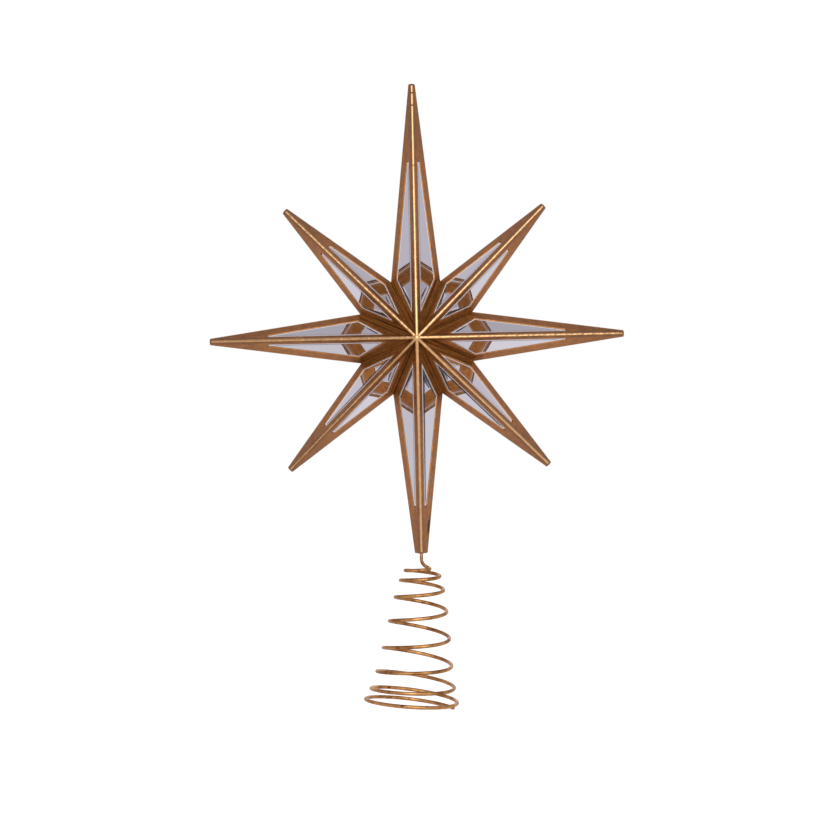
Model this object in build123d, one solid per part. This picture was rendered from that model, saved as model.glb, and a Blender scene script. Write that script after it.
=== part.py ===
"""Mirrored eight-ray star for the top of a Christmas tree.

Two moulded half frames meet on the star's mid plane and hold sixteen mirror tiles each.
A conical wire spring is potted into the bottom ray and slips over the leader of the tree.
The row's frame has Z up along the star, -Y to the front and its origin where the leader's tip rests.
"""
from build123d import *
from math import cos, pi, radians, sin
import os

# Star. Rays are measured from the star's centre, angles from the ray to the notch beside it.
# The bottom ray tapers like the top one and is cut short where the wire goes in.
top_ray = 133.6
side_ray = 109.0
diagonal_ray = 96.5
bottom_cut = 20.1
notch_radius = 32.3
notch_angle = 23.7
tip_width = 3.4
half_depth = 34.0
rim = 1.0
wall = 4.0
tip_chamfer = 0.5

# Rounded bead along every ridge, thinner towards the tip, and the ball where the beads meet.
bead_radius = 1.2
bead_tip_radius = 0.9
bead_sides = 12
bead_sink = 0.8
hub_ball_radius = 1.8

# Mirror tiles and the bars of frame around them, measured in the facet's own plane.
ridge_bar = 5.3
edge_bar = 6.0
valley_bar = 4.6
tile_tip = 2.6
tile_thickness = 2.0
tile_sink = 0.15
tile_bevel_width = 0.4
tile_bevel_drop = 0.15
tile_clearance = 0.15

# The windows of the two side rays lie nearer to the ridge, end more sharply and turn away from the valleys.
side_ridge_bar = 4.5
side_edge_bar = 6.8
side_tile_tip = 1.7
side_valley_turn = 5.7

# Pegs that locate one half on the other, in the solid ends of the rays.
peg_radius = 1.2
peg_height = 3.0
peg_from_tip = 22.0
peg_clearance = 0.06
peg_spare_depth = 0.3

# Spring of round wire. Its turns close up towards both ends, most at the neck.
# It leans a little to the left, and bends further that way towards its foot.
wire = 1.8
wire_sides = 10
coil_turns = 7.92
coil_height = 73.8
coil_top_radius = 7.4
coil_radius_step = 2.3
coil_closing = 0.56
coil_foot_opening = 0.06
neck_draw = 3.8
coil_lean = 3.4
coil_bend = 3.5
neck_height = 7.6
neck_straight = 3.2
biarcs_per_turn = 2
least_wire_gap = 0.4

# Socket and potting that hold the wire in the bottom ray.
socket_clearance = 0.1
potting_length = 14.0
wire_past_potting = 1.5

bottom_ray = top_ray - bottom_cut
star_height = neck_height + bottom_ray
recess_depth = tile_sink + tile_thickness
socket_radius = wire / 2 + socket_clearance

# Bars around a window on the ridge and outline sides, width of its tip, and turn of its valley side.
main_bars = (ridge_bar, edge_bar, tile_tip, 0.0)
side_bars = (side_ridge_bar, side_edge_bar, side_tile_tip, side_valley_turn)

# Eight rays, clockwise from the top.
# Each has a name, the length that sets its taper, its length after the cut, notch angle, bars, and peg or socket.
ray_step = 360 / 8
diagonal_angle = ray_step - notch_angle
ray_list = [
    ("top", top_ray, top_ray, notch_angle, main_bars, None),
    ("upper_right", diagonal_ray, diagonal_ray, diagonal_angle, main_bars, "socket"),
    ("right", side_ray, side_ray, notch_angle, side_bars, "peg"),
    ("lower_right", diagonal_ray, diagonal_ray, diagonal_angle, main_bars, "socket"),
    ("bottom", top_ray, bottom_ray, notch_angle, main_bars, None),
    ("lower_left", diagonal_ray, diagonal_ray, diagonal_angle, main_bars, "peg"),
    ("left", side_ray, side_ray, notch_angle, side_bars, "socket"),
    ("upper_left", diagonal_ray, diagonal_ray, diagonal_angle, main_bars, "peg"),
]
rays = [(ray[0], -index * ray_step, *ray[1:]) for index, ray in enumerate(ray_list)]

apex = Vector(0, 0, half_depth)


def facet_points(length, angle, side):
    """Notch and tip corner of one facet, for a ray that points along +Y of its own plane."""
    notch = Vector(side * notch_radius * sin(radians(angle)), notch_radius * cos(radians(angle)), rim)
    tip = Vector(side * tip_width / 2, length, rim)
    return notch, tip


def facet_plane(length, angle, side):
    """Plane of one facet: origin at the apex, X along the ridge to the tip, Z out of the facet."""
    notch, tip = facet_points(length, angle, side)
    normal = (notch - apex).cross(tip - apex).normalized() * side
    ridge = Vector(0, normal.Z, -normal.Y).normalized()
    return Plane(origin=apex, x_dir=ridge, z_dir=normal)


def to_ray(direction):
    """Turns a shape drawn along +Y into the direction of its ray, in degrees from the top."""
    return Rot(0, 0, direction)


def ray_body(length, cut, angle):
    """One ray: a prism on its plan, cut down to its two facets, with a blunt chamfered end."""
    notch, tip = facet_points(length, angle, 1)
    share = (cut - notch.Y) / (length - notch.Y)
    end_half_width = notch.X + (tip.X - notch.X) * share
    plan = Polyline(
        (0, 0),
        (notch.X, notch.Y),
        (end_half_width, cut),
        (-end_half_width, cut),
        (-notch.X, notch.Y),
        close=True,
    )
    body = extrude(make_face(plan), half_depth)
    for side in (1, -1):
        body = split(body, bisect_by=facet_plane(length, angle, side), keep=Keep.BOTTOM)
    end = body.faces().sort_by(Axis.Y)[-1]
    return chamfer(end.edges().sort_by(Axis.Z)[1:], tip_chamfer)


def ridge_bead(length, cut, angle):
    """Tapering bead along one ridge, sunk so that it just covers the sharp edge, cut off at the ray's end."""
    notch, tip = facet_points(length, angle, 1)
    along = facet_plane(length, angle, 1).x_dir
    start = apex - Vector(0, 0, bead_sink)
    end = start + along * (tip - apex).length
    root_section = Plane(origin=start, z_dir=along) * RegularPolygon(bead_radius, bead_sides)
    tip_section = Plane(origin=end, z_dir=along) * RegularPolygon(bead_tip_radius, bead_sides)
    bead = loft([root_section, tip_section], ruled=True)
    room = Pos(0, tip_chamfer, 0) * Box(
        8 * bead_radius, cut - 2 * tip_chamfer, 4 * half_depth, align=(Align.CENTER, Align.MIN, Align.CENTER)
    )
    return bead & room


def meet(point, along, other_point, other_along):
    """Crossing of two lines in a plane, each given by a point and a direction."""
    gap = other_point - point
    cross = along.X * other_along.Y - along.Y * other_along.X
    share = (gap.X * other_along.Y - gap.Y * other_along.X) / cross
    return point + along * share


def tile_corners(length, angle, bars):
    """Corners of a tile's window on the facet: X along the ridge from the apex, Y down from the ridge."""
    ridge_width, edge_width, tip_width_inside, valley_turn = bars
    plane = facet_plane(length, angle, -1)
    notch, tip = [plane.to_local_coords(point) for point in facet_points(length, angle, -1)]
    edge = (tip - notch).normalized()
    valley = notch.normalized()
    ridge = Vector(1, 0, 0)
    on_ridge_side = Vector(0, ridge_width, 0)
    on_edge_side = notch + Vector(edge.Y, -edge.X, 0) * edge_width
    on_valley_side = notch + Vector(valley.Y, -valley.X, 0) * valley_bar
    valley_side = valley.rotate(Axis.Z, valley_turn)
    inner = meet(on_ridge_side, ridge, on_valley_side, valley_side)
    outer = meet(on_edge_side, edge, on_valley_side, valley_side)
    sharp_tip = meet(on_ridge_side, ridge, on_edge_side, edge)
    tip_back = tip_width_inside * edge.X / edge.Y
    across = Vector(0, 1, 0)
    blunt = Vector(sharp_tip.X + tip_back, ridge_width, 0)
    blunt_outer = meet(blunt, across, on_edge_side, edge)
    return [inner, outer, blunt_outer, blunt]


def window(length, angle, bars, side):
    """Outline of a tile's window as a face in the facet's own plane."""
    corners = [(corner.X, -side * corner.Y) for corner in tile_corners(length, angle, bars)]
    return make_face(Polyline(*corners, close=True))


def tile(length, angle, bars, side):
    """Mirror tile lying on the floor of its recess, with a bevelled front edge."""
    plane = facet_plane(length, angle, side).offset(-recess_depth)
    outline = offset(window(length, angle, bars, side), -tile_clearance, kind=Kind.INTERSECTION)
    blank = plane * extrude(outline, tile_thickness)
    front = blank.faces().sort_by(Axis(apex, plane.z_dir))[-1]
    return chamfer(front.edges(), tile_bevel_width, tile_bevel_drop, reference=front)


def star_body():
    """Half star without beads, recesses or hollow."""
    body = Part()
    for name, direction, length, cut, angle, bars, joint in rays:
        body += to_ray(direction) * ray_body(length, cut, angle)
    return body


facet_distance = min(facet_plane(ray[2], ray[4], 1).z_dir.dot(apex) for ray in rays)
hollow_scale = 1 - wall / facet_distance
solid_star = star_body()
hollow = scale(solid_star, by=hollow_scale)
wire_socket = Rot(90, 0, 0) * Cylinder(
    socket_radius, top_ray, align=(Align.CENTER, Align.CENTER, Align.MIN)
)

half_frame = solid_star
for name, direction, length, cut, angle, bars, joint in rays:
    half_frame += to_ray(direction) * ridge_bead(length, cut, angle)
half_frame += Pos(0, 0, half_depth - bead_sink) * Sphere(hub_ball_radius)
half_frame -= hollow
half_frame -= wire_socket
for name, direction, length, cut, angle, bars, joint in rays:
    for side in (1, -1):
        cutter = extrude(window(length, angle, bars, side), recess_depth + bead_radius)
        half_frame -= to_ray(direction) * (facet_plane(length, angle, side).offset(-recess_depth) * cutter)
    seat = to_ray(direction) * Pos(0, cut - peg_from_tip, 0)
    if joint == "peg":
        half_frame += seat * Cylinder(peg_radius, 2 * peg_height)
    if joint == "socket":
        half_frame -= seat * Cylinder(peg_radius + peg_clearance, 2 * (peg_height + peg_spare_depth))

# The front half looks along -Y. The back half is the same moulding turned about the upright axis.
front = Plane(origin=(0, 0, star_height), x_dir=(1, 0, 0), z_dir=(0, -1, 0))
back = Plane(origin=(0, 0, star_height), x_dir=(-1, 0, 0), z_dir=(0, 1, 0))
parts = {"front_frame": front * half_frame, "back_frame": back * half_frame}

# Each ray carries one tile on either side of its ridge, named as seen from the tile's own side.
for name, direction, length, cut, angle, bars, joint in rays:
    for side, hand in ((1, "clockwise"), (-1, "anticlockwise")):
        placed = to_ray(direction) * tile(length, angle, bars, side)
        parts["front_mirror_" + name + "_" + hand] = front * placed
        parts["back_mirror_" + name + "_" + hand] = back * placed

# Potting fills the narrow end of the bottom ray's hollow around the wire.
potting_top = hollow_scale * bottom_ray - potting_length
potting_room = Pos(0, -potting_top, 0) * Box(
    notch_radius, bottom_ray, 2 * half_depth, align=(Align.CENTER, Align.MAX, Align.CENTER)
)
half_potting = hollow & potting_room
half_potting -= wire_socket
parts["wire_potting"] = front * half_potting + back * half_potting


def coil_point(turn):
    """Centre of the wire after so many turns down from the neck, on the leaning, bent cone of the spring."""
    share = turn / coil_turns
    drawn_in = neck_draw * max(0, 1 - 2 * turn) ** 2
    radius = coil_top_radius + coil_radius_step * turn - drawn_in
    closed = share - coil_closing * sin(2 * pi * share) / (2 * pi)
    drop = coil_height * (closed - coil_foot_opening * share * (1 - share))
    bend = coil_bend * drop / coil_height
    middle = Vector(0, 0, -drop).rotate(Axis.Y, coil_lean + bend / 2)
    spoke = Vector(radius * cos(2 * pi * turn), -radius * sin(2 * pi * turn), 0)
    return middle + spoke.rotate(Axis.Y, coil_lean + bend)


def coil_tangent(turn):
    """Direction of the wire at the same place."""
    step = 0.001
    low = max(0, turn - step)
    return (coil_point(turn + step) - coil_point(low)).normalized()


def biarc(start, start_along, end, end_along):
    """Two arcs that join two points of the wire and keep its direction at both."""
    span = end - start
    both = start_along + end_along
    spread = 2 * (1 - start_along.dot(end_along))
    reach = span.dot(both)
    leg = ((reach**2 + spread * span.dot(span)) ** 0.5 - reach) / spread
    middle = (start + end + (start_along - end_along) * leg) * 0.5
    middle_along = (end - end_along * leg - start - start_along * leg).normalized()
    return [
        TangentArc(start, middle, tangent=start_along),
        TangentArc(middle, end, tangent=middle_along),
    ]


down = Vector(0, 0, -1)
stem_top = Vector(0, 0, star_height - potting_top + wire_past_potting)
stem_end = Vector(0, 0, neck_height - neck_straight)
wire_path = [Line(stem_top, stem_end)]
wire_path += biarc(stem_end, down, coil_point(0), coil_tangent(0))
whole_steps = int(coil_turns * biarcs_per_turn)
stops = [step / biarcs_per_turn for step in range(whole_steps + 1)]
stops.append(coil_turns)
for turn, next_turn in zip(stops, stops[1:]):
    wire_path += biarc(coil_point(turn), coil_tangent(turn), coil_point(next_turn), coil_tangent(next_turn))
wire_section = Plane(origin=stem_top, z_dir=down) * RegularPolygon(wire / 2, wire_sides)
parts["coil_spring"] = sweep(wire_section, path=Wire(wire_path), clean=False)

# Least gap between one turn of the wire and any other, on points along its centre.
samples = [coil_point(coil_turns * step / 790) for step in range(791)]
stem = [Vector(0, 0, neck_height * step / 20) for step in range(15, 21)]
apart = 50
gaps = [
    (samples[i] - samples[j]).length - wire
    for i in range(len(samples))
    for j in range(i + apart, len(samples))
]
gaps += [(point - other).length - wire for point in stem for other in samples[apart:]]
print("least gap of the wire to itself", round(min(gaps), 2), "mm")
assert min(gaps) > least_wire_gap

os.makedirs("parts", exist_ok=True)
for node, solid in parts.items():
    export_step(solid, "parts/" + node + ".step")
    print(node, round(solid.volume, 1))
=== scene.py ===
import math

import bmesh
import bpy
import numpy as np
from mathutils import Matrix, Vector


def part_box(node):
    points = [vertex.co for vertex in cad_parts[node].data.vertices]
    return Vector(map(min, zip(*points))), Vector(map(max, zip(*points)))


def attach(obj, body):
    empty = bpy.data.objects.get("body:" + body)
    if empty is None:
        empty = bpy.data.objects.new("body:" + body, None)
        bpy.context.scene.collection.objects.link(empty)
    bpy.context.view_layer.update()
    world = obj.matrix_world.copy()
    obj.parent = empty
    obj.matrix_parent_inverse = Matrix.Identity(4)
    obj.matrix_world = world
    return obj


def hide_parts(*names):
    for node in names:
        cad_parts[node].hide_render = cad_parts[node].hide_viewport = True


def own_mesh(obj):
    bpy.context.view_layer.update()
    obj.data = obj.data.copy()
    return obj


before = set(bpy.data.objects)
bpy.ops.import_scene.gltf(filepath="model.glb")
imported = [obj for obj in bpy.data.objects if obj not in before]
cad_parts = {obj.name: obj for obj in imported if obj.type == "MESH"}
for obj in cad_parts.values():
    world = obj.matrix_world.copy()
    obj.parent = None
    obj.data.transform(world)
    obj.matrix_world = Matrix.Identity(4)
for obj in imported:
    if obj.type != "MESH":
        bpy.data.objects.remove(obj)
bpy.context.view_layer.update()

# Half frames: two equal mouldings that meet on the star's mid plane. Each has sixteen sloping facets with a
# recess for a mirror in every one, and a bead along every ridge. They are painted brown and gilded, and the
# gilding is rubbed bright on the beads, with a painted highlight on the side of each bead towards the lamp.
MM = 0.001
RAY_NAMES = ("top", "upper_right", "right", "lower_right", "bottom", "lower_left", "left", "upper_left")
RAY_COUNT = len(RAY_NAMES)
star_height = 121.1 * MM
ray_turn = -2 * np.pi / RAY_COUNT * np.arange(RAY_COUNT)
taper_length = MM * np.array([133.6, 96.5, 109.0, 96.5, 128.0, 96.5, 109.0, 96.5])
bottom_cut = 14.5 * MM
end_length = taper_length - bottom_cut * (np.arange(RAY_COUNT) == RAY_NAMES.index("bottom"))
notch_angle = np.radians([23.7, 21.3] * (RAY_COUNT // 2))
notch_radius = 32.3 * MM
tip_half_width = 1.7 * MM
half_depth = 34.0 * MM
rim_height = 1.0 * MM
tip_round = 0.5 * MM
on_side_ray = np.isin(np.arange(RAY_COUNT), [RAY_NAMES.index("right"), RAY_NAMES.index("left")])
ridge_bar = np.where(on_side_ray, 4.5, 5.3) * MM
edge_bar = np.where(on_side_ray, 6.8, 6.0) * MM
valley_bar = 4.6 * MM
window_tip = np.where(on_side_ray, 1.7, 2.6) * MM
valley_turn = np.radians(np.where(on_side_ray, 5.7, 0.0))
recess_depth = 2.15 * MM
lip_round = 0.3 * MM
edge_round = 0.4 * MM
parting_groove = 0.15 * MM
bead_radius = 1.2 * MM
bead_tip_radius = 0.9 * MM
bead_sink = 0.8 * MM
# The side of every bead towards the lamp, up and to the right. The gold on the crowns leans that way as a
# painted highlight. Each ray's offset moves where its bead's gold ends, and the negative ones dim the beads
# of rays away from the lamp as painted shade.
lamp_side = (0.45, 0.89)
bead_rubbing_and_shade = np.array([0.0, 0.0, -0.08, 0.0, -0.05, -0.2, -0.06, 0.0])
hub_ball_radius = 1.8 * MM
hub_flatness = 0.75


def unit(vectors):
    """Vectors of length one, along the last axis."""
    return vectors / np.linalg.norm(vectors, axis=-1, keepdims=True)


# One ray points along +Y of its own frame, with X across it and Z out of the star's face.
# A facet's own plane has x along the ridge from the apex and y down from the ridge.
none = np.zeros(RAY_COUNT)
apex = np.array([0.0, 0.0, half_depth])
notch = np.stack([
    notch_radius * np.sin(notch_angle), notch_radius * np.cos(notch_angle), none + rim_height,
], axis=1)
tip = np.stack([none + tip_half_width, taper_length, none + rim_height], axis=1)
facet_out = unit(np.cross(notch - apex, tip - apex))
facet_x = unit(np.stack([none, facet_out[:, 2], -facet_out[:, 1]], axis=1))
facet_y = np.cross(facet_x, facet_out)


def on_facet(points):
    """Places on the facet's plane, as shares of its x and y directions measured from the apex."""
    from_apex = points - apex
    return np.stack([np.sum(from_apex * facet_x, axis=1), np.sum(from_apex * facet_y, axis=1)], axis=1)


flat_notch = on_facet(notch)
valley_along = unit(flat_notch)
valley_in = np.stack([valley_along[:, 1], -valley_along[:, 0]], axis=1)
edge_along = unit(on_facet(tip) - flat_notch)
edge_in = np.stack([edge_along[:, 1], -edge_along[:, 0]], axis=1)
edge_level = np.sum(edge_in * flat_notch, axis=1)
slant_in = np.stack([
    valley_in[:, 0] * np.cos(valley_turn) - valley_in[:, 1] * np.sin(valley_turn),
    valley_in[:, 0] * np.sin(valley_turn) + valley_in[:, 1] * np.cos(valley_turn),
], axis=1)
slant_level = np.sum(slant_in * (flat_notch + valley_in * valley_bar), axis=1)


def window_loop(ridge_inset, edge_inset, valley_inset, end_inset, least_tip=0.0):
    """Corners of a facet's window with its sides moved in: inner, outer, outer end, and end by the ridge.

    Each corner is where two side lines cross. A line at distance d along normal n holds n . q = d. The ridge
    and valley sides may move in by different amounts at their two ends.
    """
    ridge_inset, ridge_end_inset = np.broadcast_to(ridge_inset, 2)
    valley_inset, valley_end_inset = np.broadcast_to(valley_inset, 2)
    ridge = ridge_bar + ridge_inset
    inner = np.stack([(slant_level + valley_inset - slant_in[:, 1] * ridge) / slant_in[:, 0], ridge], axis=1)
    valley_line = slant_level + valley_end_inset
    edge_line = edge_level + edge_bar + edge_inset
    cross = slant_in[:, 0] * edge_in[:, 1] - slant_in[:, 1] * edge_in[:, 0]
    outer = np.stack([
        (valley_line * edge_in[:, 1] - slant_in[:, 1] * edge_line) / cross,
        (slant_in[:, 0] * edge_line - valley_line * edge_in[:, 0]) / cross,
    ], axis=1)
    ridge = ridge_bar + ridge_end_inset
    end_x = (edge_level + edge_bar - edge_in[:, 1] * (ridge_bar + window_tip)) / edge_in[:, 0] - end_inset
    end_x = np.minimum(end_x, (edge_line - edge_in[:, 1] * (ridge + least_tip)) / edge_in[:, 0])
    end_outer = np.stack([end_x, (edge_line - edge_in[:, 0] * end_x) / edge_in[:, 1]], axis=1)
    end = np.stack([end_x, ridge], axis=1)
    return np.stack([inner, outer, end_outer, end], axis=1)


def even_window(inset):
    """The window with all four sides moved in alike."""
    return window_loop(inset, inset, inset, inset)


def raised(loop, height):
    """Places of flat facet points in the ray's frame, at a height over the facet.

    place = apex + x * facet's x axis + y * facet's y axis + height * facet's normal.
    """
    extra = (1,) * (loop.ndim - 2)
    x_axis, y_axis, out = (axis.reshape(RAY_COUNT, *extra, 3) for axis in (facet_x, facet_y, facet_out))
    return apex + loop[..., :1] * x_axis + loop[..., 1:] * y_axis + height * out


def to_object(points, side, front):
    """Turns points of all rays, rays first, into the object's frame: mirrored for the ray's other side, then
    turned by the ray's angle about the star's axis, then stood up with the face to the front or the back."""
    shape = (RAY_COUNT,) + (1,) * (points.ndim - 2)
    turn = ray_turn.reshape(shape)
    x, y, z = points[..., 0] * side, points[..., 1], points[..., 2]
    across = x * np.cos(turn) - y * np.sin(turn)
    up = x * np.sin(turn) + y * np.cos(turn) + star_height
    facing = 1 if front else -1
    return np.stack([facing * across, -facing * z, up], axis=-1)


class Skin:
    """Collects grids of points, with their grain and wear values, and makes one welded mesh of them."""

    weld = 0.002 * MM

    def __init__(self, **usual):
        """Starts empty, with the values that a grid has where it gives no others."""
        self.usual = usual
        self.points = []
        self.values = {}
        self.faces = []
        self.count = 0

    def add_grid(self, points, closed=False, **values):
        """Adds a batch of grids: batch, rows, columns, 3. The columns may close on themselves."""
        batch, rows, columns = points.shape[:3]
        index = self.count + np.arange(batch * rows * columns).reshape(batch, rows, columns)
        if closed:
            index = np.concatenate([index, index[:, :, :1]], axis=2)
        near, far = index[:, :-1], index[:, 1:]
        quads = np.stack([near[..., :-1], near[..., 1:], far[..., 1:], far[..., :-1]], axis=-1)
        self.faces += quads.reshape(-1, 4).tolist()
        self.points.append(points.reshape(-1, 3))
        for name, value in {**self.usual, **values}.items():
            full = np.broadcast_to(value, points.shape[:3]).reshape(-1)
            self.values.setdefault(name, []).append(full)
        self.count += batch * rows * columns

    def add_rings(self, points):
        """Closes each ring of a batch, batch by columns by 3, with one flat face that has no wear."""
        batch, columns = points.shape[:2]
        index = self.count + np.arange(batch * columns).reshape(batch, columns)
        self.faces += index.tolist()
        self.points.append(points.reshape(-1, 3))
        for name in self.values:
            self.values[name].append(np.zeros(batch * columns))
        self.count += batch * columns

    def make(self, name, material, smooth_angle):
        """Welds the grids into one object at the origin, with its values kept on the face corners."""
        mesh = bpy.data.meshes.new(name)
        mesh.from_pydata(np.concatenate(self.points), [], self.faces)
        corner = np.zeros(len(mesh.loops), dtype=np.int32)
        mesh.loops.foreach_get("vertex_index", corner)
        for value_name, parts in self.values.items():
            layer = mesh.attributes.new(value_name, "FLOAT", "CORNER")
            layer.data.foreach_set("value", np.concatenate(parts)[corner].astype(np.float32))
        shell = bmesh.new()
        shell.from_mesh(mesh)
        bmesh.ops.remove_doubles(shell, verts=shell.verts, dist=self.weld)
        bmesh.ops.recalc_face_normals(shell, faces=shell.faces)
        shell.to_mesh(mesh)
        shell.free()
        mesh.shade_smooth()
        mesh.set_sharp_from_angle(angle=smooth_angle)
        mesh.materials.append(material)
        piece = bpy.data.objects.new(name, mesh)
        bpy.context.scene.collection.objects.link(piece)
        return piece


def new_group(name, inputs, outputs):
    """An empty shader node group with named inputs, and named outputs that are all plain values."""
    group = bpy.data.node_groups.new(name, "ShaderNodeTree")
    for label, kind in inputs.items():
        group.interface.new_socket(label, in_out="INPUT", socket_type="NodeSocket" + kind)
    for label in outputs:
        group.interface.new_socket(label, in_out="OUTPUT", socket_type="NodeSocketFloat")
    return group, group.nodes.new("NodeGroupInput").outputs, group.nodes.new("NodeGroupOutput").inputs


def link(tree, source, target):
    """Joins two sockets."""
    tree.links.new(source, target)


def put(tree, socket, value):
    """Gives a socket another socket's value, or a plain one."""
    if hasattr(value, "is_output"):
        tree.links.new(value, socket)
    else:
        socket.default_value = value


def math_node(tree, operation, first, second=0.5, clamp=False):
    """One math node on two numbers or sockets."""
    node = tree.nodes.new("ShaderNodeMath")
    node.operation = operation
    node.use_clamp = clamp
    put(tree, node.inputs[0], first)
    put(tree, node.inputs[1], second)
    return node.outputs[0]


def scaled(tree, value, gain, floor, clamp=False):
    """A value times a gain, plus a floor."""
    return math_node(tree, "ADD", math_node(tree, "MULTIPLY", value, gain), floor, clamp)


def swing(tree, value, contrast):
    """How far a noise lies from its middle, times a contrast."""
    return math_node(tree, "MULTIPLY", math_node(tree, "SUBTRACT", value, 0.5), contrast)


def fade(tree, value, start, end):
    """Goes smoothly from 1 where value is at start to 0 where it is at end."""
    node = tree.nodes.new("ShaderNodeMapRange")
    node.interpolation_type = "SMOOTHSTEP"
    put(tree, node.inputs["Value"], value)
    node.inputs["From Min"].default_value = start
    node.inputs["From Max"].default_value = end
    node.inputs["To Min"].default_value = 1.0
    node.inputs["To Max"].default_value = 0.0
    return node.outputs["Result"]


def noise(tree, vector, scale, detail=3.0, roughness=0.55):
    """Value of a noise texture on a vector socket."""
    node = tree.nodes.new("ShaderNodeTexNoise")
    put(tree, node.inputs["Vector"], vector)
    put(tree, node.inputs["Scale"], scale)
    node.inputs["Detail"].default_value = detail
    node.inputs["Roughness"].default_value = roughness
    return node.outputs["Fac"]


def blend(tree, share, first, second):
    """Colour between two colours."""
    node = tree.nodes.new("ShaderNodeMix")
    node.data_type = "RGBA"
    put(tree, node.inputs["Factor"], share)
    put(tree, node.inputs["A"], first)
    put(tree, node.inputs["B"], second)
    return node.outputs["Result"]


def distance_to(tree, place, point):
    """Distance of places on the piece from a point."""
    node = tree.nodes.new("ShaderNodeVectorMath")
    node.operation = "DISTANCE"
    put(tree, node.inputs[0], place)
    node.inputs[1].default_value = point
    return node.outputs["Value"]


def stained(tree, colour, stain):
    """Colour multiplied by another."""
    node = tree.nodes.new("ShaderNodeMix")
    node.data_type = "RGBA"
    node.blend_type = "MULTIPLY"
    node.inputs["Factor"].default_value = 1.0
    put(tree, node.inputs["A"], colour)
    put(tree, node.inputs["B"], stain)
    return node.outputs["Result"]


def attribute(tree, name):
    """Value that a skin carries on its surface."""
    node = tree.nodes.new("ShaderNodeAttribute")
    node.attribute_name = name
    return node.outputs["Fac"]


def object_place(tree):
    """Places on the piece in its own frame."""
    return tree.nodes.new("ShaderNodeTexCoord").outputs["Object"]


# Brush marks that run along a bar or a wire are noise stretched a long way along and fine across.
# Clouds are soft blotches of one size, which dirt and hue follow.
cloud_scale = 140.0
streaks, given, made = new_group(
    "brush_streaks",
    {"Along": "Float", "Across": "Float", "Place": "Vector", "Fineness": "Float", "Length": "Float"},
    ["Streaks", "Clouds"],
)
stretched = streaks.nodes.new("ShaderNodeCombineXYZ")
link(streaks, math_node(streaks, "MULTIPLY", given["Along"], given["Length"]), stretched.inputs["X"])
link(streaks, math_node(streaks, "MULTIPLY", given["Across"], given["Fineness"]), stretched.inputs["Y"])
link(streaks, noise(streaks, stretched.outputs["Vector"], 1.0, detail=4.0), made["Streaks"])
link(streaks, noise(streaks, given["Place"], cloud_scale, detail=5.0, roughness=0.65), made["Clouds"])

# Small chips and flecks where the gilding has come off are the peaks of a fine noise.
fleck_level = 0.72
fleck_sharpness = 14.0
flecks, given, made = new_group(
    "gilding_flecks", {"Place": "Vector", "Size": "Float", "Amount": "Float"}, ["Flecks"]
)
fleck_noise = noise(flecks, given["Place"], given["Size"], detail=4.0, roughness=0.7)
least_peak = math_node(flecks, "SUBTRACT", fleck_level, given["Amount"])
fleck_peak = math_node(flecks, "SUBTRACT", fleck_noise, least_peak)
link(flecks, math_node(flecks, "MULTIPLY", fleck_peak, fleck_sharpness, clamp=True), made["Flecks"])


def use_group(tree, group, **inputs):
    """Places a node group with its inputs set."""
    node = tree.nodes.new("ShaderNodeGroup")
    node.node_tree = group
    for label, value in inputs.items():
        put(tree, node.inputs[label], value)
    return node.outputs


def marks_along(tree, fineness, length):
    """Brush marks of one fineness and length, on the values that a skin carries."""
    return use_group(
        tree, streaks, Along=attribute(tree, "along"), Across=attribute(tree, "across"),
        Place=object_place(tree), Fineness=fineness, Length=length,
    )


def new_material(name, metallic=0.0, specular=0.5):
    """A Principled material with its plain values set on the shader itself."""
    material = bpy.data.materials.new(name)
    material.use_nodes = True
    shader = material.node_tree.nodes["Principled BSDF"]
    shader.inputs["Metallic"].default_value = metallic
    shader.inputs["Specular IOR Level"].default_value = specular
    return material, material.node_tree, shader


def add_relief(tree, shader, height, strength, depth):
    """Bumps a shader's surface by a height value, at a real depth."""
    bump = tree.nodes.new("ShaderNodeBump")
    bump.inputs["Strength"].default_value = strength
    bump.inputs["Distance"].default_value = depth
    link(tree, height, bump.inputs["Height"])
    link(tree, bump.outputs["Normal"], shader.inputs["Normal"])


gilded_metallic = 0.95
gilding, tree, shader = new_material("antique_gilding", gilded_metallic, specular=0.05)
place = object_place(tree)

# Paint from brown to gold. Brush marks show most in the valleys, and a patina all over.
# A contrast or a range is a gain and a floor, and a reach is where something begins and where it has faded.
paint_dark = (0.212, 0.072, 0.0145, 1)
paint_light = (0.60, 0.238, 0.056, 1)
# The valleys' dark paint is darker than the bars': dirt, and painted shade in the creases between the facets.
valley_dark_and_shade = (0.16, 0.061, 0.015, 1)
valley_gold = (0.51, 0.242, 0.070, 1)
olive_cast = (0.92, 1.0, 0.86, 1)
red_cast = (1.05, 0.97, 1.05, 1)
end_shade = (0.86, 0.83, 0.83, 1)
valley_reach = (2.0 * MM, 7.0 * MM)
fine_contrast = (3.2, 0.4)
wide_contrast = (2.6, 0.2)
patina_contrast = 1.5
patina_scale = 330.0
hue_range = (3.0, -1.0)
no_stain = (1, 1, 1, 1)
fine = marks_along(tree, fineness=1000.0, length=16.0)
wide = marks_along(tree, fineness=520.0, length=8.0)
clouds = fine["Clouds"]
patina = noise(tree, place, patina_scale, detail=6.0, roughness=0.7)
in_valley = fade(tree, attribute(tree, "from_valley"), *valley_reach)
fine_marks = swing(tree, fine["Streaks"], scaled(tree, in_valley, *fine_contrast))
wide_marks = swing(tree, wide["Streaks"], scaled(tree, in_valley, *wide_contrast))
blotches = math_node(tree, "ADD", swing(tree, patina, patina_contrast), 0.5)
mottle = math_node(tree, "ADD", math_node(tree, "ADD", fine_marks, wide_marks), blotches, clamp=True)
dark_paint = blend(tree, in_valley, paint_dark, valley_dark_and_shade)
light_paint = blend(tree, in_valley, paint_light, valley_gold)
colour = blend(tree, mottle, dark_paint, light_paint)
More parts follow.
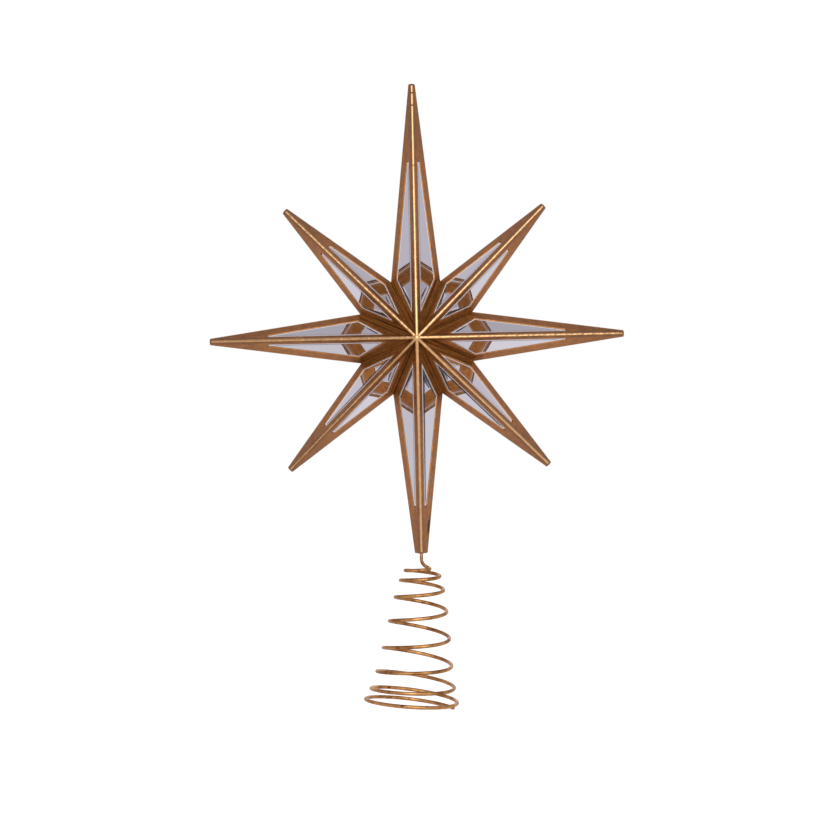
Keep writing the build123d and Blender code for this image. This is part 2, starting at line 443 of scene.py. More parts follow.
hue_share = scaled(tree, clouds, *hue_range, clamp=True)
colour = stained(tree, colour, blend(tree, hue_share, olive_cast, red_cast))
colour = stained(tree, colour, blend(tree, attribute(tree, "end"), no_stain, end_shade))

# Beside the beads the paint is darker brown in broken patches: dirt, and painted shade in the crevices.
# The beads' crowns are rubbed bright, with a painted highlight on the side towards the lamp,
# and the edges are rubbed a little.
crevice_dirt_and_shade = (0.15, 0.066, 0.018, 1)
rubbed_gold_and_highlight = (0.79, 0.465, 0.216, 1)
crevice_reach = (1.2 * MM, 4.5 * MM)
edge_reach = (0.05 * MM, 0.6 * MM)
edge_rubbing = 0.32
crown_reach = (1.0, 0.45)
crown_unevenness = 0.42
crown_scale = 650.0
dirt_and_shade_range = (2.6, -0.65)
rub_and_highlight_range = (0.4, 0.7)
by_bead = fade(tree, attribute(tree, "from_ridge"), *crevice_reach)
dirt_and_shade = scaled(tree, clouds, *dirt_and_shade_range, clamp=True)
colour = blend(tree, math_node(tree, "MULTIPLY", by_bead, dirt_and_shade), colour, crevice_dirt_and_shade)
on_edge = fade(tree, attribute(tree, "from_edge"), *edge_reach)
patchy = math_node(tree, "MULTIPLY", clouds, edge_rubbing)
edge_share = math_node(tree, "MULTIPLY", on_edge, patchy, clamp=True)
uneven = swing(tree, noise(tree, place, crown_scale, roughness=0.6), crown_unevenness)
bead_rub_and_highlight = fade(tree, math_node(tree, "ADD", attribute(tree, "crown"), uneven), *crown_reach)
bead_share = math_node(tree, "MULTIPLY", bead_rub_and_highlight, scaled(tree, mottle, *rub_and_highlight_range), clamp=True)
colour = blend(tree, math_node(tree, "MAXIMUM", bead_share, edge_share), colour, rubbed_gold_and_highlight)

# Flecks lie all over, a long chip by the end of the bottom ray, and three breaks across the top ray's bead,
# each given by its distance from the hub and its strength.
chip_brown = (0.075, 0.024, 0.007, 1)
chip_place = (4.1 * MM, -2.8 * MM, star_height - 99.2 * MM)
chip_shape = (1.0, 1.0, 0.3)
chip_reach = (0.9 * MM, 1.9 * MM)
bead_breaks = ((90.0 * MM, 0.6), (122.0 * MM, 0.9), (128.6 * MM, 0.95))
break_reach = (1.2 * MM, 2.0 * MM)
break_width = (0.15 * MM, 0.5 * MM)
ridge_fall = -facet_x[0, 2] / facet_x[0, 1]
worn = use_group(tree, flecks, Place=place, Size=800.0, Amount=0.06)["Flecks"]
shaped = tree.nodes.new("ShaderNodeVectorMath")
shaped.operation = "MULTIPLY"
link(tree, place, shaped.inputs[0])
shaped.inputs[1].default_value = chip_shape
from_chip = distance_to(tree, shaped.outputs["Vector"], tuple(np.multiply(chip_place, chip_shape)))
ragged = use_group(tree, flecks, Place=place, Size=620.0, Amount=0.32)["Flecks"]
chip = math_node(tree, "MULTIPLY", fade(tree, from_chip, *chip_reach), ragged)
worn = math_node(tree, "MAXIMUM", worn, chip)
up = tree.nodes.new("ShaderNodeSeparateXYZ")
link(tree, place, up.inputs["Vector"])
for from_hub, strength in bead_breaks:
    break_height = star_height + from_hub
    from_break = distance_to(tree, place, (0.0, ridge_fall * from_hub - half_depth, break_height))
    beside = math_node(tree, "ABSOLUTE", math_node(tree, "SUBTRACT", up.outputs["Z"], break_height))
    cut = math_node(tree, "MULTIPLY", fade(tree, from_break, *break_reach), fade(tree, beside, *break_width))
    worn = math_node(tree, "MAXIMUM", worn, math_node(tree, "MULTIPLY", cut, strength))
link(tree, blend(tree, worn, colour, chip_brown), shader.inputs["Base Color"])

# Where the gilding is glazed or gone it is less of a metal, and where it is rubbed it is smoother.
valley_glaze = 0.33
chip_bareness = 0.9
bead_polish = 0.12
paint_roughness = (0.24, 0.20)
mark_depth = 0.5
glazed = math_node(tree, "MULTIPLY", in_valley, valley_glaze)
ungilded = math_node(tree, "MAXIMUM", glazed, math_node(tree, "MULTIPLY", worn, chip_bareness))
link(tree, math_node(tree, "SUBTRACT", gilded_metallic, ungilded), shader.inputs["Metallic"])
polish = math_node(tree, "MULTIPLY", bead_rub_and_highlight, bead_polish)
rough = scaled(tree, patina, *paint_roughness)
link(tree, math_node(tree, "SUBTRACT", rough, polish), shader.inputs["Roughness"])
grainy = math_node(tree, "ADD", math_node(tree, "MULTIPLY", fine["Streaks"], mark_depth), patina)
add_relief(tree, shader, math_node(tree, "SUBTRACT", grainy, worn), strength=0.4, depth=0.15 * MM)

# Flat loops of one facet, from its outer corners (apex, notch, tip corner, ridge end) to the recess.
end_y = end_length - tip_round
flat_edge = flat_notch + edge_in * edge_round
rise = np.stack([facet_x[:, 1], facet_y[:, 1]], axis=1)
tip_reach = (end_y - np.sum(flat_edge * rise, axis=1)) / np.sum(edge_along * rise, axis=1)
flat_tip = flat_edge + edge_along * tip_reach[:, None]
ridge_end = np.stack([end_y / facet_x[:, 1], none], axis=1)
notch_easing = 1.4 * edge_round
lip_hold = 0.15 * MM
bar_shares = (0.07, 0.35, 0.7)
lip_bends = (0, 30, 60, 90)
outer_loop = np.stack([
    np.zeros((RAY_COUNT, 2)), flat_notch - valley_along * notch_easing, flat_tip, ridge_end,
], axis=1)
bar_loop = even_window(-lip_round - lip_hold)
facet_rows = [(outer_loop, 0.0)]
facet_rows += [(outer_loop + (bar_loop - outer_loop) * share, 0.0) for share in bar_shares]
facet_rows += [(bar_loop, 0.0)]
for bend in np.radians(lip_bends):
    facet_rows.append((even_window(-lip_round * (1 - np.sin(bend))), -lip_round * (1 - np.cos(bend))))
facet_rows.append((even_window(0.0), -recess_depth))
VALLEY_SIDE, EDGE_SIDE, TIP_SIDE, RIDGE_SIDE = range(4)
side_columns = {VALLEY_SIDE: 16, EDGE_SIDE: 32, TIP_SIDE: 3, RIDGE_SIDE: 40}


def facet_side(loop, which):
    """Points along one side of a flat loop, from its corner to the next, evenly spread."""
    share = np.linspace(0.0, 1.0, side_columns[which] + 1)[None, :, None]
    return loop[:, None, which] * (1 - share) + loop[:, None, (which + 1) % 4] * share


def inward(flat, normal, level):
    """Distance of flat facet points from a side line."""
    return np.einsum("r...k,rk->r...", flat, normal) - level


# The beads' waves are given as size, pitch and phase steps.
# The sections of the cap over a ray's end are given as scale and bulge.
bead_waves = ((0.035, 900.0, 1), (0.03, 2100.0, 2))
bead_thinning = 0.04
ray_phase = 2.4
highlight_lean = 0.4
cap_sections = ((1.0, 0.0), (0.97, 0.25 * MM), (0.89, 0.43 * MM), (0.76, 0.5 * MM), (0.0, 0.5 * MM))


def bead_grid(rows, columns):
    """Beads of all rays: circles along the ridge line, thinning from hub to tip, with a rounded far end.

    centre = apex - sink + s * ridge, radius = taper(s) * (1 - thinning + waves(s)) * end(s), where end(s) is
    sqrt(1 - u^2) over the last radius of the bead. The crown value is highest on the bead's front, where it
    was rubbed, and leans towards the lamp's side as a painted highlight. Each ray's own offset dims some
    beads as painted shade.
    """
    run = np.linspace(0.0, 1.0, rows)[None, :]
    full_reach = (end_y / facet_x[:, 1])[:, None]
    reach = full_reach * run
    whole = np.linalg.norm(tip - apex, axis=1)[:, None]
    radius = bead_radius + (bead_tip_radius - bead_radius) * reach / whole
    phase = ray_phase * np.arange(RAY_COUNT)[:, None]
    waves = sum(size * np.sin(pitch * reach + steps * phase) for size, pitch, steps in bead_waves)
    to_end = np.clip((reach - full_reach) / radius + 1, 0, 1)
    radius = radius * (1 - bead_thinning + waves) * np.sqrt(1 - to_end ** 2)
    radius[:, 0] = 0.0
    turn = np.linspace(0, 2 * np.pi, columns, endpoint=False)[None, None]
    cosine, sine = np.cos(turn), np.sin(turn)
    up = np.stack([none, -facet_x[:, 2], facet_x[:, 1]], axis=1)
    centre = apex - np.array([0, 0, bead_sink]) + reach[..., None] * facet_x[:, None]
    around = cosine[..., None] * np.array([1.0, 0, 0]) + sine[..., None] * up[:, None, None]
    # How far the bead's sideways direction turns towards the lamp's side, for the crown's painted highlight.
    upper = lamp_side[0] * np.cos(ray_turn) + lamp_side[1] * np.sin(ray_turn)
    crown = sine + highlight_lean * upper[:, None, None] * cosine + bead_rubbing_and_shade[:, None, None]
    beads = centre[:, :, None] + radius[:, :, None, None] * around
    return beads, reach[:, :, None], bead_radius * turn, crown


window_end = even_window(0.0)[:, 3, 0][:, None, None]
end_reach = 8.0 * MM
far = 9.0 * MM
grain_by_ray, grain_by_side, grain_by_bar, grain_of_rim = 0.1, 0.3, 20.0 * MM, 0.7
rim_drop = 1.4 * MM
rim_edge = 1.1 * MM
rim_wear_gap = 0.25 * MM
rim_valley_gap = 3.0 * MM
cap_wear_gap = 0.5 * MM
groove_corner = 1.5
rim_rows = 5
ball_rows, ball_columns = 17, 32


def frame_skin(front):
    """One half frame: facets with recesses, rounded outline, parting groove, tip caps, beads and hub ball."""
    skin = Skin(from_valley=40.0 * MM, from_edge=far, from_ridge=far, crown=-2.0, end=0.0)
    for side in (1, -1):
        for which in range(4):
            flat = np.stack([facet_side(loop, which) for loop, height in facet_rows], axis=1)
            heights = np.array([height for loop, height in facet_rows])[None, :, None, None]
            from_ridge = flat[..., 1]
            from_outline = inward(flat, edge_in, edge_level[:, None, None])
            from_valley = inward(flat, valley_in, 0.0)
            from_slant = inward(flat, slant_in, slant_level[:, None, None])
            along, across = {
                VALLEY_SIDE: (inward(flat, valley_along, 0.0), from_valley),
                EDGE_SIDE: (inward(flat, edge_along, 0.0), from_outline),
            }.get(which, (flat[..., 0], from_ridge))
            bars = ridge_bar[:, None, None] - from_ridge, edge_bar[:, None, None] - from_outline, -from_slant
            lip_gap = np.max(bars, axis=0)
            lip_gap = np.abs(lip_gap) if which != TIP_SIDE else np.full_like(lip_gap, far)
            skin.add_grid(
                to_object(raised(flat, heights), side, front),
                along=along + ray_turn[:, None, None] * grain_by_ray + side * grain_by_side,
                across=across + which * grain_by_bar, from_valley=from_valley,
                from_edge=np.minimum(np.abs(from_outline), lip_gap), from_ridge=from_ridge,
                end=np.clip((flat[..., 0] - window_end) / end_reach, 0, 1),
            )
        recess = even_window(0.0)
        floor_loop = np.concatenate([facet_side(recess, which)[:, :-1] for which in range(4)], axis=1)
        floor = to_object(raised(floor_loop, -recess_depth), side, front)

        # Rounded outline: a curve from the facet over the sharp edge, down the rim and in at the mid plane.
        # strip = (1 - c)^2 top + 2 c (1 - c) sharp + c^2 low.
        share = np.linspace(0.0, 1.0, side_columns[EDGE_SIDE] + 1)[None, :, None]
        outline_end = notch + (tip - notch) * ((end_y - notch[:, 1]) / (taper_length - notch[:, 1]))[:, None]
        sharp = notch[:, None] * (1 - share) + outline_end[:, None] * share
        top = raised(facet_side(outer_loop, EDGE_SIDE), 0.0)[:, None]
        low = (sharp - np.array([0, 0, edge_round]))[:, None]
        curve = np.linspace(0, 1, rim_rows)[None, :, None, None]
        strip = (1 - curve) ** 2 * top + 2 * curve * (1 - curve) * sharp[:, None] + curve ** 2 * low
        plan = (tip - notch)[:, :2]
        outward = unit(np.stack([plan[:, 1], -plan[:, 0]], axis=1))
        corner_in = -groove_corner * unit(notch[:, None, :2])
        groove_in = np.where(share > 0, -outward[:, None], corner_in) * parting_groove
        groove_top = np.concatenate([sharp[..., :2], np.full_like(sharp[..., :1], parting_groove)], axis=2)
        groove = np.concatenate([sharp[..., :2] + groove_in, np.zeros_like(sharp[..., :1])], axis=2)
        strip = np.concatenate([strip, groove_top[:, None], groove[:, None]], axis=1)
        drop = np.linspace(0, rim_drop, strip.shape[1])[None, ::-1, None]
        run = np.linalg.norm(sharp - notch[:, None], axis=2)[:, None]
        skin.add_grid(
            to_object(strip[:, ::-1], side, front), along=run + grain_of_rim, across=drop,
            from_valley=run + rim_valley_gap, from_edge=np.abs(drop - rim_edge) + rim_wear_gap,
        )

        # Cap over the ray's end: its section shrinks to a point while it bulges out.
        tip_section = raised(facet_side(outer_loop, TIP_SIDE), 0.0)
        section = np.concatenate([tip_section[:, ::-1], strip[:, 1:, -1]], axis=1)
        cap = np.stack([
            section * np.array([scale, 1, scale]) + np.array([0, bulge, 0])
            for scale, bulge in cap_sections
        ], axis=1)
        skin.add_grid(
            to_object(cap, side, front), along=cap[..., 2], across=cap[..., 0],
            from_edge=cap_wear_gap, end=1.0,
        )

        # Flat mid plane, a fan from the star's axis to the outline.
        border = np.concatenate([groove, cap[:, 1:, -1]], axis=1)
        skin.add_grid(to_object(np.stack([border, border * 0], axis=1), side, front), along=0.0, across=0.0)
        skin.add_rings(floor)
    beads, along, across, crown = bead_grid(rows=150, columns=24)
    skin.add_grid(
        to_object(beads, 1, front), closed=True, along=along, across=across, from_ridge=0.0, crown=crown,
    )
    lift = np.linspace(-np.pi / 2, np.pi / 2, ball_rows)[:, None]
    spin = np.linspace(0, 2 * np.pi, ball_columns, endpoint=False)[None, :]
    level = np.cos(lift)
    ball = np.stack([level * np.cos(spin), level * np.sin(spin), np.sin(lift) + 0 * spin], axis=-1)
    ball = hub_ball_radius * ball * np.array([1, 1, hub_flatness]) + apex - np.array([0, 0, bead_sink])
    facing = 1 if front else -1
    ball = np.stack([facing * ball[..., 0], -facing * ball[..., 2], ball[..., 1] + star_height], axis=-1)
    skin.add_grid(ball[None], closed=True, along=0.0, across=0.0, from_ridge=0.0, crown=1.0)
    return skin


frame_crease = math.radians(38)
for node, front in (("front_frame", True), ("back_frame", False)):
    piece = frame_skin(front).make("gilded_" + node, gilding, frame_crease)
    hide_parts(node)
    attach(piece, "star")

# Wire potting: a plug of clear yellowish glue that fills the narrow end of the bottom ray and holds the
# straight end of the wire. It set in place, so it has small bubbles and an uneven gloss. The two halves close
# it in.
glue_yellow = (0.62, 0.50, 0.30, 1)
bubble_white = (0.80, 0.74, 0.60, 1)
glue_roughness = (0.3, 0.25)
potting, tree, shader = new_material("set_glue")
bubbles = use_group(tree, flecks, Place=object_place(tree), Size=1500.0, Amount=0.12)["Flecks"]
link(tree, blend(tree, bubbles, glue_yellow, bubble_white), shader.inputs["Base Color"])
link(tree, scaled(tree, bubbles, *glue_roughness), shader.inputs["Roughness"])
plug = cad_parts["wire_potting"]
plug.data.materials.clear()
plug.data.materials.append(potting)

# Spring: one length of round steel wire, wound right-handed into a cone that widens downwards and leans a
# little to the left. Its straight top end is potted in the bottom ray. It is painted like the frame, with
# dark worn patches.
wire_radius = 0.9 * MM
paint_on_coil = 0.08 * MM
coil_turns = 7.92
coil_height = 73.8 * MM
coil_top_radius = 7.4 * MM
coil_radius_step = 2.3 * MM
coil_closing = 0.56
coil_foot_opening = 0.06
neck_draw = 3.8 * MM
coil_lean = math.radians(3.4)
coil_bend = math.radians(3.5)
stem_end = 4.4 * MM
neck_slack = 1.35
end_chamfer = 0.35 * wire_radius
end_girth = 0.65
paint_run = 10.0 * MM
stem_points, neck_points, coil_points, wire_sides = 20, 40, 1100, 18
spring_foot, stem_top = (corner[2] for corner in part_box("coil_spring"))


def coil_centre(turn):
    """Wire centre after so many turns: radius grows by a step a turn, drawn in near the neck, and the drop is
    turn share less a sine, so that the turns close up at both ends. The axis leans and bends about Y."""
    share = turn / coil_turns
    radius = coil_top_radius + coil_radius_step * turn - neck_draw * np.clip(1 - 2 * turn, 0, None) ** 2
    closed = share - coil_closing * np.sin(2 * np.pi * share) / (2 * np.pi)
    drop = coil_height * (closed - coil_foot_opening * share * (1 - share))
    bent = coil_bend * drop / coil_height
    middle, tilt = coil_lean + bent / 2, coil_lean + bent
    x, y = radius * np.cos(2 * np.pi * turn), -radius * np.sin(2 * np.pi * turn)
    return np.stack([
        x * np.cos(tilt) - drop * np.sin(middle), y, -x * np.sin(tilt) - drop * np.cos(middle),
    ], axis=1)


turns = np.linspace(0, coil_turns, coil_points)
coil = coil_centre(turns)
coil_start_along = unit((coil[1] - coil[0])[None])[0]
stem = np.stack([
    np.zeros(stem_points), np.zeros(stem_points), np.linspace(stem_top, stem_end, stem_points),
], axis=1)

# The neck is a cubic from stem to coil, of start p, end q, and pulls u and v at its two ends:
# (2 b^3 - 3 b^2 + 1) p + (b^3 - 2 b^2 + b) u + (3 b^2 - 2 b^3) q + (b^3 - b^2) v.
bend = np.linspace(0, 1, neck_points + 2)[1:-1, None]
neck_pull = neck_slack * np.linalg.norm(coil[0] - stem[-1])
neck = (
    (2 * bend ** 3 - 3 * bend ** 2 + 1) * stem[-1]
    + (bend ** 3 - 2 * bend ** 2 + bend) * np.array([0, 0, -neck_pull])
    + (3 * bend ** 2 - 2 * bend ** 3) * coil[0]
    + (bend ** 3 - bend ** 2) * neck_pull * coil_start_along
)
wire_line = np.concatenate([stem, neck, coil])
wire_along = unit(np.gradient(wire_line, axis=0))
radial = np.stack([np.cos(2 * np.pi * turns), -np.sin(2 * np.pi * turns), 0 * turns], axis=1)
guide = np.concatenate([np.tile([1.0, 0, 0], (len(stem) + len(neck), 1)), radial])
wire_side = unit(guide - np.sum(guide * wire_along, axis=1, keepdims=True) * wire_along)
wire_up = np.cross(wire_along, wire_side)
length = np.concatenate([[0], np.cumsum(np.linalg.norm(np.diff(wire_line, axis=0), axis=1))])
end_gap = np.clip(np.minimum(length, length[-1] - length) / end_chamfer, 0, 1)
painted = wire_radius + paint_on_coil * np.clip((length - length[len(stem)]) / paint_run, 0, 1)
girth = painted * (end_girth + (1 - end_girth) * np.sqrt(2 * end_gap - end_gap ** 2))
around = np.linspace(0, 2 * np.pi, wire_sides, endpoint=False)
tube = wire_line[:, None] + girth[:, None, None] * (
    np.cos(around)[None, :, None] * wire_side[:, None] + np.sin(around)[None, :, None] * wire_up[:, None]
)
first_end, last_end = (np.broadcast_to(end, tube[:1].shape) for end in (wire_line[0], wire_line[-1]))
tube = np.concatenate([first_end, tube, last_end])
tube_length = np.concatenate([length[:1], length, length[-1:]])

wire_brown = (0.28, 0.115, 0.034, 1)
wire_gold = (0.74, 0.395, 0.145, 1)
worn_wire = (0.10, 0.045, 0.02, 1)
wear_level = 0.58
wear_sharpness = 9.0
mottle_range = (3.2, -1.1)
wire_roughness = (0.25, 0.24)
gilded_wire, tree, shader = new_material("gilded_wire", metallic=1.0)
brushed = marks_along(tree, fineness=1500.0, length=90.0)
patches = marks_along(tree, fineness=420.0, length=170.0)
over_level = math_node(tree, "SUBTRACT", patches["Streaks"], wear_level)
bare_steel = math_node(tree, "MULTIPLY", over_level, wear_sharpness, clamp=True)
mottle = scaled(tree, brushed["Clouds"], *mottle_range, clamp=True)
colour = blend(tree, mottle, wire_brown, wire_gold)
link(tree, blend(tree, bare_steel, colour, worn_wire), shader.inputs["Base Color"])
link(tree, scaled(tree, brushed["Streaks"], *wire_roughness), shader.inputs["Roughness"])
add_relief(tree, shader, brushed["Clouds"], strength=0.3, depth=0.1 * MM)

wire_crease = math.radians(60)
wire_skin = Skin()
wire_skin.add_grid(
    tube[None, ::-1], closed=True,
    along=tube_length[None, ::-1, None], across=wire_radius * around[None, None],
)
spring = wire_skin.make("wound_spring", gilded_wire, wire_crease)
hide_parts("coil_spring")
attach(spring, "spring")
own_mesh(spring)

# Mirror tiles: thirty-two flat pieces of silvered glass, cut to their facets and glued into the recesses.
# Their edges are ground, which leaves a pale line round each mirror, and none lies quite parallel to its
# facet. Strips without silver carry painted shade: grey along every ridge side, and black in the gap by some
# ridge bars. Black strips by some valleys are a painted dark reflection of the ground edge. Each tile's
# silver is painted a little brighter or dimmer, for the reflection it shows.
tile_clearance = 0.15 * MM
tile_sink = 0.15 * MM
tile_bevel_drop = 0.22 * MM
tile_lift = 0.02 * MM
arris = 0.12 * MM
bevel_width = {"ridge": 0.45 * MM, "edge": 1.3 * MM, "valley": 1.0 * MM, "end": 0.7 * MM}
steep_bevel = 0.25 * MM
gentle_drop = 0.12 * MM
# Widths of the grey strip of painted shade along every ridge side, and of the black valley strips by the hub
# and the notch.
grey_ridge_shade = 0.9 * MM
valley_strip_hub_end = 2.2 * MM
valley_strip_notch_end = 0.4 * MM
# Tiles with a black strip along the valley: a painted dark reflection of the glass's ground edge by the
# shaded hub.
valley_dark_reflections = {
    "top_anticlockwise", "upper_right_anticlockwise", "upper_right_clockwise", "upper_left_anticlockwise",
    "lower_right_clockwise", "bottom_anticlockwise", "bottom_clockwise",
}
least_mirror_tip = 0.4 * MM
tip_spare = 0.2 * MM
seam = 0.02 * MM
# How dark the black strips and the grey ridge strips are painted, as shade and dark reflection.
black_strip_share = 0.95
grey_strip_share = 0.45
tile_tilt = 0.0035
tilt_share = np.array([0.5, 1.0])
# How brightly each tile reflects: alike on most tiles, and on some others painted brighter or dimmer to give
# the reflections they show.
plain_silver = 0.80
tile_painted_reflection = {
    "upper_right_anticlockwise": 0.93, "lower_right_anticlockwise": 0.90, "lower_left_clockwise": 0.94,
    "lower_right_clockwise": 0.74, "bottom_clockwise": 0.72, "left_anticlockwise": 0.70,
}
# Black strips along the ridge, painted shade in the gap beside the ridge bar: width by the hub and by the
# ray's end.
ridge_shade_strips = {
    "bottom_anticlockwise": (2.4 * MM, 1.0 * MM),
    "lower_right_clockwise": (1.8 * MM, 1.6 * MM),
    "lower_left_clockwise": (1.8 * MM, 0.6 * MM),
}

silver_cool = (0.98, 0.955, 1.01, 1)
silver_warm = (1.02, 1.0, 1.035, 1)
ground_glass = (0.84, 0.81, 0.83, 1)
painted_strip_black = (0.022, 0.020, 0.024, 1)
ground_roughness = 0.4
mirror_roughness = (0.03, 0.015)
tint_scale = 60.0
haze_scale = 260.0
silvering, tree, shader = new_material("silvered_glass", metallic=1.0)
ground = attribute(tree, "ground")
# Strips without silver darken the mirror to near black: painted shade and painted dark reflections.
painted_dark_strip = attribute(tree, "painted_dark_strip")
place = object_place(tree)
tint = blend(tree, noise(tree, place, tint_scale, detail=2.0), silver_cool, silver_warm)
# A tile's silver value scales its reflection. On some tiles it is a reflection painted brighter or dimmer.
faced = blend(tree, ground, stained(tree, tint, attribute(tree, "silver")), ground_glass)
link(tree, blend(tree, painted_dark_strip, faced, painted_strip_black), shader.inputs["Base Color"])
unmirrored = math_node(tree, "MAXIMUM", ground, painted_dark_strip)
link(tree, math_node(tree, "SUBTRACT", 1.0, unmirrored), shader.inputs["Metallic"])
haze = scaled(tree, noise(tree, place, haze_scale, detail=5.0), *mirror_roughness)
ground_haze = math_node(tree, "MULTIPLY", ground, ground_roughness)
link(tree, math_node(tree, "ADD", haze, ground_haze), shader.inputs["Roughness"])

# How much a tile's edge looks ground on its valley, outline, end and ridge sides.
ground_share = np.array([1.0, 0.0, 0.3, 0.35])
random = np.random.default_rng(7)
tilts = random.uniform(-1, 1, (2, 2, RAY_COUNT, 2)) * tilt_share * tile_tilt


def tile_loops(ridge_strip, valley_strip):
    """Flat loops of all rays' tiles with their heights, from the back edge up the side and over the bevel,
    then in past the ground edge and past the strips without silver, which carry painted shade and painted
    dark reflections, to the mirror itself."""
    gap = tile_clearance
    line = [bevel_width[name] + gap for name in ("ridge", "edge", "valley", "end")]
    inner = window_loop(
        (line[0] + ridge_strip[0], line[0] + ridge_strip[1]), line[1] + seam,
        (line[2] + valley_strip[0], line[2] + valley_strip[1]), line[3] + seam, least_mirror_tip,
    )
    return [
        (even_window(gap + arris), -recess_depth + tile_lift),
        (even_window(gap), -recess_depth + tile_lift + arris),
        (even_window(gap), -tile_sink - tile_bevel_drop),
        (even_window(gap + steep_bevel), -tile_sink - gentle_drop),
        (window_loop(*line, least_mirror_tip + tip_spare), -tile_sink),
        (inner, -tile_sink),
    ]


def tile_mesh(place_name, ray, side, front):
    """One tile: rings of four corners joined by walls, closed by back and mirror, all a little tilted."""
    ridge_shade_strip = ridge_shade_strips.get(place_name)
    valley_reflection_strip = (valley_strip_hub_end, valley_strip_notch_end) if place_name in valley_dark_reflections else (seam, seam)
    loops = tile_loops(ridge_shade_strip or (grey_ridge_shade, grey_ridge_shade), valley_reflection_strip)
    tilt = tilts[int(front), int(side > 0), ray]
    middle = loops[0][0].mean(axis=1, keepdims=True)
    rings = []
    for loop, height in loops:
        tilted = height + np.sum((loop - middle) * tilt, axis=2, keepdims=True)
        rings.append(to_object(raised(loop, tilted), side, front)[ray])
    points = np.concatenate(rings)
    ring, corner = np.divmod(np.arange(4 * (len(rings) - 1)), 4)
    below, following = 4 * ring, (corner + 1) % 4
    above = below + 4
    walls = np.stack([below + corner, below + following, above + following, above + corner], axis=1)
    last = 4 * (len(rings) - 1)
    faces = walls.tolist() + [[3, 2, 1, 0], [last, last + 1, last + 2, last + 3]]
    in_strip = ring == len(rings) - 2
    ground = np.where(in_strip, 0.0, ground_share[corner])
    strip_share = np.array([black_strip_share, 0.0, 0.0, black_strip_share if ridge_shade_strip else grey_strip_share])
    painted_dark_strip = in_strip * strip_share[corner]
    return points, faces, np.append(ground, [1.0, 0.0]), np.append(painted_dark_strip, [0.0, 0.0])


for front in (True, False):
    for ray, ray_name in enumerate(RAY_NAMES):
        for side, hand in ((1, "clockwise"), (-1, "anticlockwise")):
            place_name = ray_name + "_" + hand
            node = ("front" if front else "back") + "_mirror_" + place_name
            points, faces, ground, painted_dark_strip = tile_mesh(place_name, ray, side, front)
            mesh = bpy.data.meshes.new("silvered_" + node)
            mesh.from_pydata(points, [], faces)
            reflection_share = np.full(len(faces), tile_painted_reflection.get(place_name, plain_silver))
            for label, share in (("ground", ground), ("painted_dark_strip", painted_dark_strip), ("silver", reflection_share)):
                layer = mesh.attributes.new(label, "FLOAT", "FACE")
                layer.data.foreach_set("value", share.astype(np.float32))
            shell = bmesh.new()
            shell.from_mesh(mesh)
            bmesh.ops.recalc_face_normals(shell, faces=shell.faces)
            shell.to_mesh(mesh)
            shell.free()
            mesh.materials.append(silvering)
            piece = bpy.data.objects.new("silvered_" + node, mesh)
            bpy.context.scene.collection.objects.link(piece)
            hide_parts(node)
            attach(piece, "star")

# Studio: a pale floor under the spring, a dim lavender room with a white sheet behind, and one large soft
# lamp in front. The camera stands level with the star's middle, rolled a little as in the photograph.
floor_size = 6.0
floor_grey = (0.72, 0.71, 0.73, 1)
floor_glow_seen = 0.7
floor_glow_mirrored = 0.30


def light_path(tree):
    """Whether light goes straight to the camera, and whether it goes by way of a mirror or glass."""
    path = tree.nodes.new("ShaderNodeLightPath").outputs
    mirrored = math_node(tree, "MAXIMUM", path["Is Glossy Ray"], path["Is Transmission Ray"])
    return path["Is Camera Ray"], mirrored


bpy.ops.mesh.primitive_plane_add(size=floor_size, location=(0, 0, spring_foot))
floor = bpy.context.object
floor.name = "studio_floor"
floor_paint = bpy.data.materials.new("pale_floor")
floor_paint.use_nodes = True
tree = floor_paint.node_tree
tree.nodes.clear()
seen, mirrored = light_path(tree)
seen_glow = math_node(tree, "MULTIPLY", seen, floor_glow_seen)
shown = math_node(tree, "MAXIMUM", seen_glow, math_node(tree, "MULTIPLY", mirrored, floor_glow_mirrored))
matte = tree.nodes.new("ShaderNodeBsdfDiffuse")
matte.inputs["Color"].default_value = floor_grey
glow = tree.nodes.new("ShaderNodeEmission")
link(tree, shown, glow.inputs["Strength"])
both = tree.nodes.new("ShaderNodeAddShader")
link(tree, matte.outputs["BSDF"], both.inputs[0])
link(tree, glow.outputs["Emission"], both.inputs[1])
link(tree, both.outputs["Shader"], tree.nodes.new("ShaderNodeOutputMaterial").inputs["Surface"])
floor.data.materials.append(floor_paint)

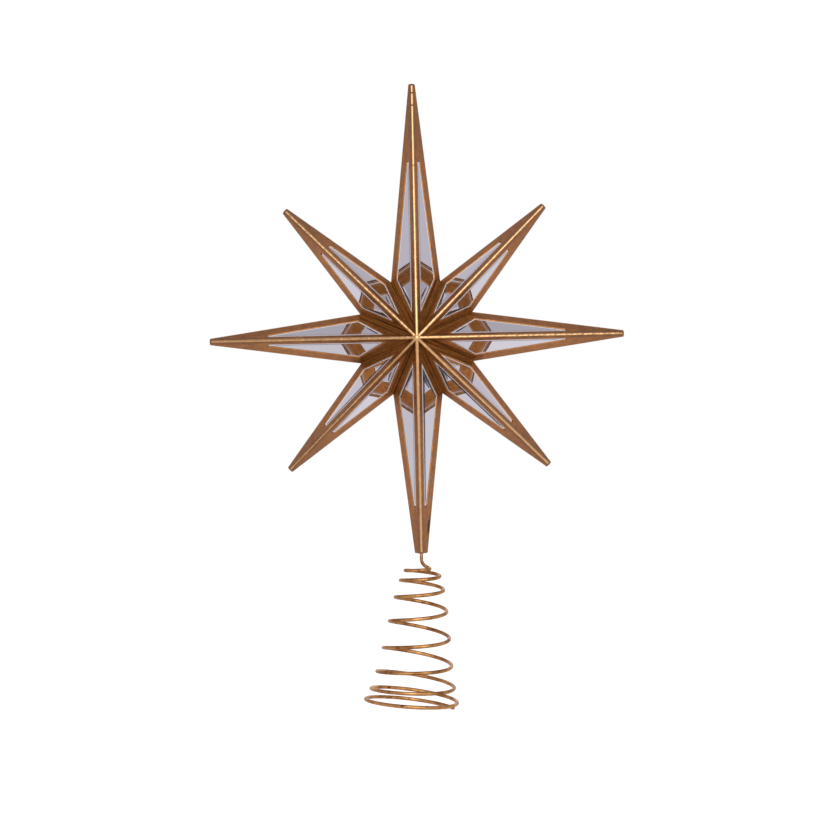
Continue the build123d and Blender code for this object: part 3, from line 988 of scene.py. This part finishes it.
wall_lavender = (0.58, 0.555, 0.61, 1)
ceiling_lavender = (0.47, 0.45, 0.49, 1)
sheet_white = (1, 1, 1, 1)
overhead_reach = (0.9, 0.4)
sheet_reach = (0.78, 0.68)
room = bpy.data.worlds.new("studio_room")
bpy.context.scene.world = room
room.use_nodes = True
tree = room.node_tree
background = tree.nodes["Background"]
direction = tree.nodes.new("ShaderNodeSeparateXYZ")
link(tree, tree.nodes.new("ShaderNodeTexCoord").outputs["Generated"], direction.inputs["Vector"])
overhead = fade(tree, direction.outputs["Z"], *overhead_reach)
walls = blend(tree, overhead, wall_lavender, ceiling_lavender)
behind = fade(tree, direction.outputs["Y"], *sheet_reach)
seen, mirrored = light_path(tree)
white = math_node(tree, "MAXIMUM", seen, math_node(tree, "MULTIPLY", mirrored, behind))
link(tree, blend(tree, white, walls, sheet_white), background.inputs["Color"])

lamp_size = 1.5
lamp_power = 14.0
lamp_place = Vector((0.18, -1.25, 0.56))
aim = Vector((0, 0, star_height))
lamp = bpy.data.objects.new("soft_lamp", bpy.data.lights.new("soft_lamp", "AREA"))
lamp.data.size = lamp_size
lamp.data.energy = lamp_power
lamp_turn = (aim - lamp_place).to_track_quat("-Z", "Y").to_matrix().to_4x4()
lamp.matrix_world = Matrix.Translation(lamp_place) @ lamp_turn
lamp.visible_camera = False
bpy.context.scene.collection.objects.link(lamp)

photo_width = 823
metres_per_pixel = 0.527 * MM
star_pixel = (416.8, 337.7)
camera_distance = 1.4
camera_roll = math.radians(-1.2)
lens = bpy.data.cameras.new("camera")
lens.sensor_width = 36.0
lens.lens = lens.sensor_width * camera_distance / (photo_width * metres_per_pixel)
lens.shift_x = (photo_width / 2 - star_pixel[0]) / photo_width
lens.shift_y = (star_pixel[1] - photo_width / 2) / photo_width
camera = bpy.data.objects.new("camera", lens)
camera.matrix_world = (
    Matrix.Translation((0, -camera_distance, star_height))
    @ Matrix.Rotation(math.radians(90), 4, "X") @ Matrix.Rotation(camera_roll, 4, "Z")
)
bpy.context.scene.collection.objects.link(camera)
bpy.context.scene.camera = camera
bpy.context.scene.view_settings.view_transform = "Standard"
